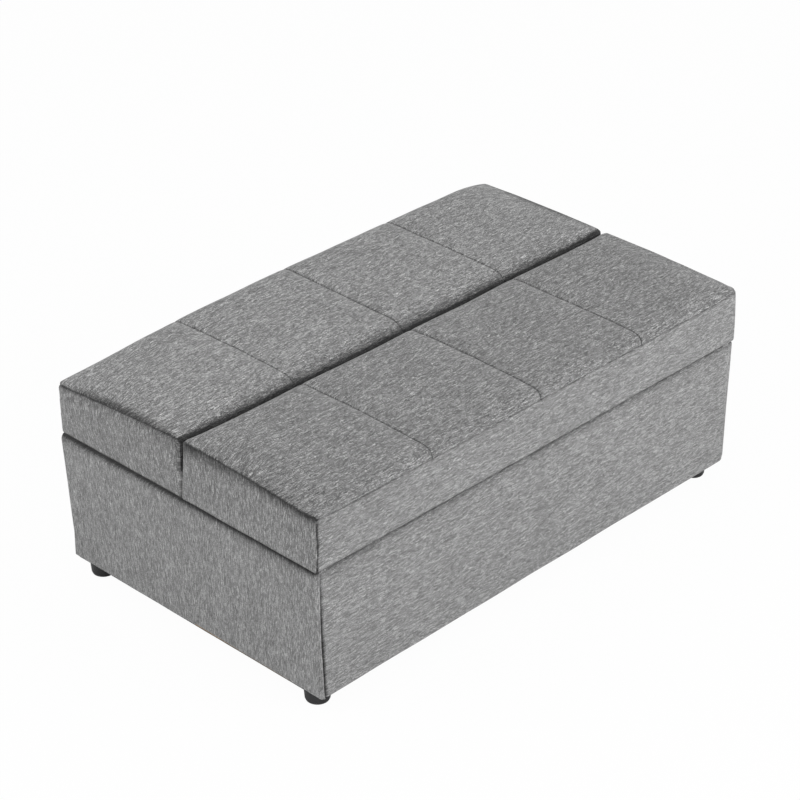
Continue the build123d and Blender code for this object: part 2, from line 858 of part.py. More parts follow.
def make_arm(name, side, toothed):
    """A hinge arm: head round the pin, leg and foot flange, and the toothed sector if it has one."""
    centre = (pin_offset, pin_height)
    foot_start = pin_offset + arm_reach - arm_elbow_radius
    foot_end = pin_offset + arm_reach + arm_foot_length
    notch_angle = tooth_width / sector_radius / radians(1)
    with BuildPart() as arm:
        with BuildSketch(layer_plane(arm_inner, arm_outer, side)):
            with Locations(centre):
                Circle(arm_head_radius)
            with Locations(arm_elbow):
                Circle(arm_elbow_radius)
            make_hull()
            with Locations(((foot_start + foot_end) / 2, board_top + arm_foot_height / 2)):
                Rectangle(foot_end - foot_start, arm_foot_height)
            if toothed:
                sweep_angle = (step_count + 1) * step_angle
                first = pawl_angle + step_angle / 2 - sweep_angle
                with BuildLine():
                    rim = CenterArc(centre, sector_radius, first, sweep_angle)
                    Polyline(rim @ 1, centre, rim @ 0)
                make_face()
                for step in range(step_count + 1):
                    angle = pawl_angle - step * step_angle
                    with BuildLine():
                        Polyline(
                            polar(sector_radius + tooth_depth, angle + notch_angle / 2, centre),
                            polar(sector_radius - tooth_depth, angle + notch_angle / 2, centre),
                            polar(sector_radius, angle - notch_angle / 2, centre),
                            polar(sector_radius + tooth_depth, angle - notch_angle / 2, centre),
                            polar(sector_radius + tooth_depth, angle + notch_angle / 2, centre),
                        )
                    make_face(mode=Mode.SUBTRACT)
            with Locations(centre):
                Circle(pin_radius + pin_clearance, mode=Mode.SUBTRACT)
        extrude(amount=hinge_plate)
        with BuildSketch(Plane.XY.offset(board_top)):
            with Locations((arm_outer + arm_foot_width / 2, side * (foot_start + foot_end) / 2)):
                Rectangle(arm_foot_width, foot_end - foot_start)
            with Locations(*arm_screw_places(side)):
                screw_outline(arm_screw_radius, Mode.SUBTRACT)
        extrude(amount=hinge_plate)
    save_pair(arm, name)


def make_arm_screws(name, side):
    """Pan-head screws through the feet of both arms of a cushion into its board."""
    with BuildPart() as screws:
        with BuildSketch(Plane.XY.offset(board_top + hinge_plate - arm_screw_length)):
            with Locations(*arm_screw_places(side)):
                screw_outline(arm_screw_radius)
        extrude(amount=arm_screw_length)
        with BuildSketch(Plane.XY.offset(board_top + hinge_plate)):
            with Locations(*arm_screw_places(side)):
                screw_outline(arm_screw_head_radius)
        extrude(amount=arm_screw_head_height)
    save(screws, name)


# Base
for name, x_side, y_side in (
    ("front_left", -1, -1),
    ("front_right", 1, -1),
    ("rear_left", -1, 1),
    ("rear_right", 1, 1),
):
    make_foot(f"foot_{name}", x_side, y_side)
    make_corner_post(f"corner_post_{name}", x_side, y_side)
make_foot_screws()
make_floor_panel()
make_underside_cloth()
make_long_wall("front_wall", -1)
make_long_wall("rear_wall", 1)
make_end_wall("left_wall", -1)
make_end_wall("right_wall", 1)
make_corner_screws()
make_centre_rail()
make_rail_cleat("rail_cleat_left", -1)
make_rail_cleat("rail_cleat_right", 1)
make_long_cover("base_cover_front", -1)
make_long_cover("base_cover_rear", 1)
make_end_cover("base_cover_left", -1)
make_end_cover("base_cover_right", 1)

# Cushions
make_cushion("seat", -1)
make_cushion("backrest", 1)

# Hinge units
make_stand()
make_stand_fasteners()
make_rivets(
    "hinge_pins", [(-pin_offset, pin_height), (pin_offset, pin_height)], pin_radius, pin_head_radius
)
make_rivets("pawl_pins", [pawl_place()[0]], pawl_pin_radius, pawl_pin_head_radius)
make_pawl()
make_pawl_springs()
make_arm("seat_arm", -1, toothed=False)
make_arm("backrest_arm", 1, toothed=True)
make_arm_screws("seat_arm_screws", -1)
make_arm_screws("backrest_arm_screws", 1)
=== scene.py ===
"""Storage sofa bed: cloth, timber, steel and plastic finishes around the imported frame."""

import logging
from dataclasses import dataclass, replace
from enum import Enum, IntEnum
from functools import cache
from math import copysign, pi, radians, sin
from typing import Iterable, Sequence

import bmesh
import bpy
import numpy as np
from bmesh.types import BMEdge, BMesh, BMFace, BMVert
from bpy.types import Material, Mesh, Node, NodeSocket, NodeTree, Object
from mathutils import Euler, Matrix, Vector, noise
from mathutils.kdtree import KDTree


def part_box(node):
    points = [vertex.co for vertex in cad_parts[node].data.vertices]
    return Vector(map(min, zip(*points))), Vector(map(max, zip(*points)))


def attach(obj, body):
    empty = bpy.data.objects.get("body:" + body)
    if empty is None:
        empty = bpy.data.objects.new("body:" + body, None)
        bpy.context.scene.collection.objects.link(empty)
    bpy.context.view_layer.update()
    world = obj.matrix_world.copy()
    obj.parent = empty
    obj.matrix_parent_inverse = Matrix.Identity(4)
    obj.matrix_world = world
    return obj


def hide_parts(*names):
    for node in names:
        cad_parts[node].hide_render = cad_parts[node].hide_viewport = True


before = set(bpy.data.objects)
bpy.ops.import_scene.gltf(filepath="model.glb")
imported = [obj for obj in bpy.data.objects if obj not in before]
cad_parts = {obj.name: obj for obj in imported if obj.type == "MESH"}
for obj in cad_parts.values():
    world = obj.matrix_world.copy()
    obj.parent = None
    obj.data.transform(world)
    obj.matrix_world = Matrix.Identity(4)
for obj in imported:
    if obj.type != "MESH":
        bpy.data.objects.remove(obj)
log = logging.getLogger("sofa_bed")
MM = 0.001
TINY = 1e-6
Floats = tuple[float, ...]
Triple = tuple[float, float, float]


def mm(*lengths: float) -> Floats:
    """Millimetres, in metres."""
    return tuple(length * MM for length in lengths)


class Grain(Enum):
    """The way in which the yarns of the cloth run on a panel."""

    ALONG = "level, along the sofa"
    UPRIGHT = "up and down"


class Region(IntEnum):
    """The panels of one cushion cover, each a material slot of its mesh."""

    TOP_ODD = 0
    TOP_EVEN = 1
    BOXING = 2
    END = 3
    UNDERSIDE = 4
    INSIDE = 5


# Shader helpers


class NodeBuilder:
    """Adds and links the nodes of one tree."""

    spacing = 180

    def __init__(self, tree: NodeTree) -> None:
        """Keep the tree that the nodes go into."""
        self.tree = tree
        self.column = 0

    def feed(self, node: Node, inputs: dict) -> None:
        """Give a node its inputs.

        Args:
            node: The node.
            inputs: Socket name or index to a value, or to a socket that feeds it.
        """
        for name, value in inputs.items():
            if isinstance(value, NodeSocket):
                self.tree.links.new(value, node.inputs[name])
            else:
                node.inputs[name].default_value = value

    def add(self, kind: str, inputs: dict | None = None, **settings: object) -> Node:
        """Add one node.

        Args:
            kind: The node's type name.
            inputs: What feeds it, as in feed().
            settings: Properties of the node itself, set first.

        Returns:
            The new node.
        """
        node = self.tree.nodes.new(kind)
        self.column += 1
        node.location = (self.spacing * self.column, 0)
        for name, value in settings.items():
            setattr(node, name, value)
        self.feed(node, inputs or {})
        return node

    def group(self, tree: NodeTree, inputs: dict) -> bpy.types.bpy_prop_collection:
        """The outputs of a node group that is fed those inputs."""
        return self.add("ShaderNodeGroup", inputs, node_tree=tree).outputs

    def math(self, operation: str, *values: object, kind: str = "ShaderNodeMath") -> NodeSocket:
        """One math node, and its output."""
        return self.add(kind, dict(enumerate(values)), operation=operation).outputs[0]

    def vector(self, operation: str, *values: object) -> NodeSocket:
        """One vector math node, and its output."""
        return self.math(operation, *values, kind="ShaderNodeVectorMath")

    def scaled(self, vector: object, factor: NodeSocket) -> NodeSocket:
        """A vector times one number."""
        node = self.add("ShaderNodeVectorMath", {0: vector, "Scale": factor}, operation="SCALE")
        return node.outputs[0]

    def noise(self, vector: NodeSocket, scale: float, detail: float) -> NodeSocket:
        """A noise texture's value on a vector."""
        values = {"Vector": vector, "Scale": scale, "Detail": detail, "Roughness": 0.55}
        return self.add("ShaderNodeTexNoise", values).outputs["Fac"]

    def random(self, vector: NodeSocket) -> NodeSocket:
        """A random number from 0 to 1 for each value of a vector."""
        return self.add("ShaderNodeTexWhiteNoise", {"Vector": vector}).outputs["Value"]

    def remap(self, value: NodeSocket, low: float, high: float, to_low: float = -1.0,
              to_high: float = 1.0) -> NodeSocket:
        """A value moved from one range to another, and held inside it."""
        span = {"From Min": low, "From Max": high, "To Min": to_low, "To Max": to_high}
        return self.add("ShaderNodeMapRange", {"Value": value, **span}).outputs["Result"]

    def bump(self, height: NodeSocket, strength: float, depth: float) -> NodeSocket:
        """A normal bent by a height."""
        values = {"Height": height, "Strength": strength, "Distance": depth}
        return self.add("ShaderNodeBump", values).outputs[0]


def new_group(name: str, inputs: dict[str, str], outputs: dict[str, str]) -> tuple:
    """A shader node group with named sockets.

    Args:
        name: The group's name.
        inputs: Socket name to socket type.
        outputs: Socket name to socket type.

    Returns:
        The tree, a builder for it, what it is given, and the node that takes what it makes.
    """
    tree = bpy.data.node_groups.new(name, "ShaderNodeTree")
    for direction, sockets in (("INPUT", inputs), ("OUTPUT", outputs)):
        for socket, kind in sockets.items():
            tree.interface.new_socket(socket, in_out=direction, socket_type=f"NodeSocket{kind}")
    nodes = NodeBuilder(tree)
    return tree, nodes, nodes.add("NodeGroupInput").outputs, nodes.add("NodeGroupOutput")


@dataclass(frozen=True)
class Yarns:
    """One layer of yarns laid side by side, each with its own tone that changes along it.

    The width of a yarn and the length of a tone are in millimetres. The seed makes one layer
    differ from another, and the share is how much the layer counts.
    """

    width: float
    length: float
    seed: float
    share: float

    def tone(self, nodes: NodeBuilder, laid: NodeSocket) -> NodeSocket:
        """The tone of the layer.

        Args:
            nodes: The builder of the group that holds the layer.
            laid: Where on the cloth, in millimetres: along the yarns, across them, and the panel.

        Returns:
            The tone, from minus half the share to half the share.
        """
        place = nodes.vector("MULTIPLY", laid, (1 / self.length, 1 / self.width, 1.0))
        place = nodes.vector("ADD", place, (self.seed, self.seed, self.seed))
        yarn = nodes.vector("MULTIPLY", nodes.vector("FLOOR", place), (0, 1, 1))
        start = nodes.scaled((1, 0, 0), nodes.random(yarn))
        piece = nodes.vector("FLOOR", nodes.vector("ADD", place, start))
        tone = nodes.math("SUBTRACT", nodes.random(piece), 0.5)
        return nodes.math("MULTIPLY", tone, self.share)


FINE_YARNS = Yarns(width=1.15, length=7.0, seed=0.0, share=0.72)
SLUBS = Yarns(width=2.3, length=15.0, seed=31.0, share=0.44)
CROSS_YARNS = Yarns(width=1.5, length=1.5, seed=57.0, share=0.9)
# How far the yarns stray from their lines, in millimetres
STRAY = 5


@cache
def slub_weave_group() -> NodeTree:
    """Linen-look chenille: fine yarns, thicker slubs, a cross weave and a slow change of tone."""
    tree, nodes, given, made = new_group(
        "Slub weave",
        {"Vector": "Vector", "Laid": "Vector", "Slub": "Float", "Weave": "Float"},
        {"Tone": "Float", "Height": "Float"},
    )
    place = nodes.vector("MULTIPLY", given["Vector"], (1000, 1000, 1000))
    laid = nodes.vector("MULTIPLY", given["Laid"], (1000, 1000, 1))
    drift = nodes.add("ShaderNodeTexNoise", {"Vector": place, "Scale": 0.07, "Detail": 2.0})
    drift = nodes.vector("SUBTRACT", drift.outputs["Color"], (0.5, 0.5, 0.5))
    waved = nodes.vector("ADD", laid, nodes.vector("MULTIPLY", drift, (STRAY, STRAY, 0)))
    streaks = nodes.math("ADD", FINE_YARNS.tone(nodes, waved), SLUBS.tone(nodes, waved))
    soft = nodes.remap(nodes.noise(place, 0.35, 2.0), 0.3, 0.7, -0.1, 0.1)
    weave = nodes.math("ADD", CROSS_YARNS.tone(nodes, waved), soft)
    slow = nodes.remap(nodes.noise(place, 0.012, 3.0), 0.35, 0.65, -0.04, 0.04)
    streaks = nodes.math("MULTIPLY", streaks, given["Slub"])
    pattern = nodes.math("ADD", streaks, nodes.math("MULTIPLY", weave, given["Weave"]))
    tone = nodes.math("POWER", 2.0, nodes.math("ADD", pattern, slow))
    nodes.feed(made, {"Tone": tone, "Height": pattern})
    return tree


# From the split to the middle of a cushion
CUSHION_MIDDLE = 180 * MM
# Numbers that tell the panels apart, so that their yarns differ
SIDE_NUMBER, HALF_NUMBER, END_NUMBER = 10.0, 3.0, 20.0


@cache
def lay_group(grain: Grain) -> NodeTree:
    """Where a point lies on the cloth: along the yarns, across them, and on which panel.

    Args:
        grain: The way in which the yarns run.

    Returns:
        A group from Object coordinates to that place. Yarns along the sofa follow a panel over
        its rolled edges, because the distance across them grows outward and downward alike.
        Upright yarns go round the corners in the same way.
    """
    name = f"Lay, {grain.value}"
    tree, nodes, given, made = new_group(name, {"Vector": "Vector"}, {"Laid": "Vector"})
    parts = nodes.add("ShaderNodeSeparateXYZ", {0: given["Vector"]})
    x, y, z = (parts.outputs[axis] for axis in "XYZ")
    if grain is Grain.ALONG:
        offset = nodes.math("SUBTRACT", nodes.math("ABSOLUTE", y), CUSHION_MIDDLE)
        across = nodes.math("SUBTRACT", nodes.math("ABSOLUTE", offset), z)
        half = nodes.math("MULTIPLY", nodes.math("SIGN", offset), HALF_NUMBER)
        panel = nodes.math("MULTIPLY_ADD", nodes.math("SIGN", y), SIDE_NUMBER, half)
        along = x
    else:
        turned = nodes.math("MULTIPLY", nodes.math("ABSOLUTE", x), nodes.math("SIGN", y))
        across = nodes.math("SUBTRACT", y, turned)
        panel = nodes.math("MULTIPLY", nodes.math("SIGN", x), END_NUMBER)
        along = z
    joined = nodes.add("ShaderNodeCombineXYZ", {"X": along, "Y": across, "Z": panel})
    nodes.feed(made, {"Laid": joined.outputs[0]})
    return tree


@cache
def uneven_group() -> NodeTree:
    """A fine grain and a slow stain, used on plastic, steel, timber and foam."""
    tree, nodes, given, made = new_group(
        "Uneven surface",
        {"Vector": "Vector", "Grain Size": "Float", "Grain": "Float", "Stain": "Float"},
        {"Tone": "Float", "Height": "Float"},
    )
    fine = nodes.scaled(given["Vector"], nodes.math("DIVIDE", 1.0, given["Grain Size"]))
    grain = nodes.remap(nodes.noise(fine, 1.0, 3.0), 0.3, 0.7)
    stain = nodes.remap(nodes.noise(given["Vector"], 9.0, 4.0), 0.35, 0.65)
    tone = nodes.math("MULTIPLY_ADD", grain, given["Grain"], 1.0)
    tone = nodes.math("MULTIPLY_ADD", stain, given["Stain"], tone)
    nodes.feed(made, {"Tone": tone, "Height": grain})
    return tree


def new_material(name: str) -> tuple[Material, NodeBuilder, Node]:
    """A new material, the builder of its nodes, and its shader."""
    made = bpy.data.materials.new(name)
    made.use_nodes = True
    return made, NodeBuilder(made.node_tree), made.node_tree.nodes["Principled BSDF"]


@dataclass(frozen=True)
class Cloth:
    """Upholstery cloth: colour, slub direction and how strongly the weave shows."""

    name: str
    grain: Grain
    tone: float = 0.241
    slub: float = 1.75
    weave: float = 1.0
    # Painted shade: how much the seam attribute darkens the cloth, and how much it raises the
    # weave's contrast there
    painted_shade: float = 0.9
    painted_shade_contrast: float = 0.4
    bump: float = 0.2
    depth: float = 0.3 * MM
    roughness: float = 0.93
    smoother: float = 0.1

    @cache
    def material(self) -> Material:
        """The cloth as a material that reads Object coordinates and the seam attribute."""
        made, nodes, shader = new_material(self.name)
        place = nodes.add("ShaderNodeTexCoord").outputs["Object"]
        laid = nodes.group(lay_group(self.grain), {"Vector": place})["Laid"]
        weave = nodes.group(slub_weave_group(), {
            "Vector": place, "Laid": laid, "Slub": self.slub, "Weave": self.weave})
        # Painted shade: the seam attribute darkens the cloth along the seams, at the hem, beside
        # the end seams, in the split and under the rim
        seam = nodes.add("ShaderNodeAttribute", attribute_name="seam").outputs["Fac"]
        shade = nodes.math("SUBTRACT", 1.0, nodes.math("MULTIPLY", seam, self.painted_shade))
        contrast = nodes.math("MULTIPLY_ADD", seam, self.painted_shade_contrast, 1.0)
        tone = nodes.math("MULTIPLY", nodes.math("POWER", weave["Tone"], contrast), shade)
        value = nodes.math("MULTIPLY", tone, self.tone)
        grey = nodes.add("ShaderNodeCombineColor", {"Red": value, "Green": value, "Blue": value})
        smooth = self.roughness - self.smoother
        nodes.feed(shader, {
            "Base Color": grey.outputs[0],
            "Normal": nodes.bump(weave["Height"], self.bump, self.depth),
            "Roughness": nodes.remap(weave["Height"], -1.5, 1.5, self.roughness, smooth),
            "Specular IOR Level": 0.25, "Sheen Weight": 0.25, "Sheen Roughness": 0.6,
        })
        return made


@dataclass(frozen=True)
class Plain:
    """A finish with one colour that grain and stain vary: plastic, steel, foam or board."""

    name: str
    colour: Triple
    roughness: float
    metallic: float = 0.0
    grain_size: float = 0.8 * MM
    grain: float = 0.08
    stain: float = 0.05
    stretch: Triple = (1, 1, 1)
    bump: float = 0.15
    depth: float = 0.3 * MM
    coat: float = 0.0
    uneven: float = 0.06

    @cache
    def material(self) -> Material:
        """The finish as a material that reads Object coordinates."""
        made, nodes, shader = new_material(self.name)
        place = nodes.add("ShaderNodeTexCoord").outputs["Object"]
        uneven = nodes.group(uneven_group(), {
            "Vector": nodes.vector("MULTIPLY", place, self.stretch),
            "Grain Size": self.grain_size, "Grain": self.grain, "Stain": self.stain})
        rough, smooth = self.roughness + self.uneven, self.roughness - self.uneven
        nodes.feed(shader, {
            "Base Color": nodes.scaled(self.colour, uneven["Tone"]),
            "Normal": nodes.bump(uneven["Height"], self.bump, self.depth),
            "Roughness": nodes.remap(uneven["Tone"], 0.85, 1.15, rough, smooth),
            "Metallic": self.metallic, "Coat Weight": self.coat,
        })
        return made


# Painted light and shade: the same cloth, toned darker for the ends and the seat top and lighter
# for the backrest top, for the light that falls on them
SHADED_ENDS = Cloth("Cloth of the ends", Grain.UPRIGHT, tone=0.216, slub=2.0, weave=1.2)
SHADED_SEAT_TOP = Cloth("Cloth of the seat top", Grain.ALONG, tone=0.203, slub=2.3, weave=1.8)
LIT_BACKREST_TOP = Cloth("Cloth of the backrest top", Grain.ALONG, tone=0.246, slub=2.3, weave=1.8)
ALONG = Cloth("Cloth with level slubs", Grain.ALONG)
UPRIGHT = Cloth("Cloth with upright slubs", Grain.UPRIGHT)
LINING = Plain("Black lining cloth", (0.02, 0.02, 0.021), 0.9,
               grain_size=1.6 * MM, grain=0.3, bump=0.4)
FOAM = Plain("Cut foam", (0.62, 0.55, 0.36), 0.95,
             grain_size=1.8 * MM, grain=0.14, bump=0.6, depth=0.6 * MM)
BOARD = Plain("Chipboard", (0.42, 0.29, 0.16), 0.8,
              grain_size=4 * MM, grain=0.22, stretch=(0.5, 0.5, 1.0), bump=0.2)
PLYWOOD = Plain("Plywood", (0.5, 0.35, 0.2), 0.7,
                grain_size=3 * MM, grain=0.16, stretch=(0.12, 1, 1), bump=0.12)
PINE = Plain("Planed pine, level grain", (0.58, 0.4, 0.22), 0.62,
             grain_size=4 * MM, grain=0.17, stretch=(0.07, 1, 1), bump=0.1)
PINE_UPRIGHT = replace(PINE, name="Planed pine, upright grain", stretch=(1, 1, 0.07))
PLASTIC = Plain("Black moulded plastic", (0.017, 0.017, 0.018), 0.42,
                grain_size=1.2 * MM, grain=0.2, bump=0.3)
COATED = Plain("Black powder coat", (0.022, 0.022, 0.023), 0.5,
               grain_size=0.9 * MM, grain=0.2, bump=0.35, coat=0.1)
ZINC = Plain("Zinc plate", (0.6, 0.6, 0.58), 0.36,
             metallic=1.0, grain_size=2.2 * MM, grain=0.1, bump=0.1)
SPRING = Plain("Spring steel", (0.32, 0.33, 0.36), 0.3,
               metallic=1.0, grain_size=1 * MM, grain=0.12, stretch=(0.1, 1, 1))
# The first of these words that is in a node's name gives its finish
NODE_FINISHES = {
    ZINC: ("_screws", "stand_bolts", "stand_nuts", "_pins", "spring_posts"),
    PLASTIC: ("foot",), PINE_UPRIGHT: ("corner_post",), PINE: ("centre_rail", "rail_cleat"),
    BOARD: ("wall", "storage_floor"), COATED: ("hinge_stand", "arm"), SPRING: ("pawl",),
    PLYWOOD: ("_board",), LINING: ("lining", "cloth"), FOAM: ("foam",), ALONG: ("cover",),
}


# Shape helpers


POINT_SPACING = 0.7 * MM


def bell(distance: float, width: float) -> float:
    """A smooth bump: one at no distance, falling away over a width."""
    return float(np.exp(-((distance / width) ** 2)))


def near(distance: float, reach: float) -> float:
    """One at no distance, and a straight fall to nothing at the reach."""
    return max(0.0, 1 - distance / reach)


def eased(part: float) -> float:
    """A rise from nothing to one that starts steep and ends level."""
    return 1 - max(0.0, 1 - part) ** 2.2


def blend(start: float, end: float, part: float) -> float:
    """The value a part of the way from the start to the end."""
    return start + (end - start) * part


def waver(place: Vector) -> float:
    """Smooth noise from 0 to 1."""
    return 0.5 + 0.5 * noise.noise(place)


def stations(marks: Sequence[float], *counts: int) -> list[float]:
    """Places along an axis: marks, with each gap between two divided into a count of steps."""
    places: list[float] = []
    for start, end, steps in zip(marks, marks[1:], counts):
        places += [start + (end - start) * k / steps for k in range(steps)]
    return [*places, marks[-1]]


def gridded_box(xs: Sequence[float], ys: Sequence[float], zs: Sequence[float]) -> BMesh:
    """A closed box whose faces are divided at given places.

    Args:
        xs: Places of the divisions along X, both ends included.
        ys: The same along Y.
        zs: The same along Z.

    Returns:
        The box as a new bmesh.
    """
    box = bmesh.new()
    bmesh.ops.create_cube(box, size=1.0)
    for axis, places in enumerate((xs, ys, zs)):
        edges = [e for e in box.edges if abs((e.verts[0].co - e.verts[1].co)[axis]) > 0.5]
        cuts = len(places) - 2
        if cuts:
            bmesh.ops.subdivide_edges(box, edges=edges, cuts=cuts, use_grid_fill=True)
    for vert in box.verts:
        for axis, places in enumerate((xs, ys, zs)):
            index = (vert.co[axis] + 0.5) * (len(places) - 1)
            vert.co[axis] = places[min(len(places) - 1, max(0, round(index)))]
    facing_out(box)
    return box


def placed(name: str, data: bpy.types.ID) -> Object:
    """A new object in the scene, which shows that data."""
    made = bpy.data.objects.new(name, data)
    bpy.context.scene.collection.objects.link(made)
    return made


def to_object(mesh: BMesh, name: str, materials: Iterable[Material]) -> Object:
    """A bmesh as a smooth object in the scene, with its materials."""
    data = bpy.data.meshes.new(name)
    mesh.to_mesh(data)
    mesh.free()
    for material in materials:
        data.materials.append(material)
    data.shade_smooth()
    return placed(name, data)


def facing_out(mesh: BMesh) -> None:
    """Turn the faces of a mesh to the outside."""
    bmesh.ops.recalc_face_normals(mesh, faces=mesh.faces)


def applied(source: Object) -> None:
    """Turn an object's modifiers into its mesh."""
    graph = bpy.context.evaluated_depsgraph_get()
    data = bpy.data.meshes.new_from_object(source.evaluated_get(graph), depsgraph=graph)
    old = source.data
    source.modifiers.clear()
    source.data = data
    bpy.data.meshes.remove(old)


def modified(source: Object, kind: str, **settings: object) -> None:
    """Change an object's mesh by one modifier, for good."""
    modifier = source.modifiers.new(kind, kind)
    for name, value in settings.items():
        setattr(modifier, name, value)
    applied(source)


def coordinates(data: Mesh) -> np.ndarray:
    """The vertex places of a mesh as an array of rows."""
    return np.array([vert.co for vert in data.vertices], dtype=float)


def seam_edges(mesh: BMesh, *pairs: tuple[Region, Region]) -> list[BMEdge]:
    """The edges where two given panels of cloth meet.

    Args:
        mesh: The cushion, whose material index is the panel of each face.
        pairs: The pairs of panels.

    Returns:
        The edges, in the mesh's order.
    """
    wanted = {frozenset(pair) for pair in pairs}
    return [
        e for e in mesh.edges
        if len(e.link_faces) == 2 and frozenset(f.material_index for f in e.link_faces) in wanted
    ]


def pushed(mesh: BMesh, faces: list[BMFace], move: Triple,
           closed: bool = False) -> None:
    """Extrude faces and move what that makes; the old faces may stay, to close the shape."""
    made = bmesh.ops.extrude_face_region(mesh, geom=faces, use_keep_orig=closed)["geom"]
    moved = [g for g in made if isinstance(g, BMVert)]
    bmesh.ops.translate(mesh, vec=move, verts=moved)


def widened(mesh: BMesh, edges: list[BMEdge], reach: float, rows: int) -> KDTree:
    """Add rows of faces along a seam, and remember where the seam runs.

    Args:
        mesh: The cushion.
        edges: The seam's edges.
        reach: How far the rows go on each side, in metres.
        rows: The number of rows in all.

    Returns:
        A tree of points along the seam.
    """
    line: list[Vector] = []
    for edge in edges:
        steps = max(1, round(edge.calc_length() / POINT_SPACING))
        line += [edge.verts[0].co.lerp(edge.verts[1].co, k / steps) for k in range(steps + 1)]
    bmesh.ops.bevel(
        mesh, geom=edges, offset=reach, offset_type="OFFSET", segments=rows, profile=0.5,
        affect="EDGES", material=-1, clamp_overlap=True,
    )
    tree = KDTree(len(line))
    for index, point in enumerate(line):
        tree.insert(point, index)
    tree.balance()
    return tree


def undulate(source: Object, height: float, size: float, seed: float) -> None:
    """Give a cloth face the slow unevenness of real padding.

    Args:
        source: The object, whose mesh is changed.
        height: The largest rise or fall, in metres.
        size: The distance between rises, in metres.
        seed: Moves the pattern, so that no two pieces match.
    """
    normals = [v.normal.copy() for v in source.data.vertices]
    for vert, normal in zip(source.data.vertices, normals):
        place = vert.co / size + Vector((seed, 2 * seed, 3 * seed))
        vert.co += normal * (noise.noise(place) * height)


def finish_piece(piece: Object, body: str, slot: str, *nodes: str) -> None:
    """Let a piece ride on its body, in the place of CAD nodes, and report it."""
    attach(piece, body)
    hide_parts(*nodes)
    log.info("%s: %d faces, on %s", piece.name, len(piece.data.polygons), body)


# Cushions


SPLIT_ROWS = mm(0, 0.8, 2.5, 5, 8.5, 13, 18, 24, 31, 39)
EDGE_ANGLES = (0, 16, 32, 48, 62, 74, 83, 90)
HEIGHTS = stations((0, 0.04, 0.09, 0.84, 0.96, 1), 2, 2, 7, 3, 2)
# A hinge slot in section: distance from the split, and height over the hinge pin
SLOT = [mm(*point) for point in (
    (-5, 8.5), (16, 8.5), (20, 15), (38, 15), (44, 9), (44, -15), (56, -25))]
SWELLING = {
    "quality": 5, "mass": 0.3, "tension_stiffness": 20, "compression_stiffness": 20,
    "shear_stiffness": 8, "bending_stiffness": 4, "use_pressure": True,
    "uniform_pressure_force": 4.0, "vertex_group_mass": "held",
}
SWELL_FRAMES = 20


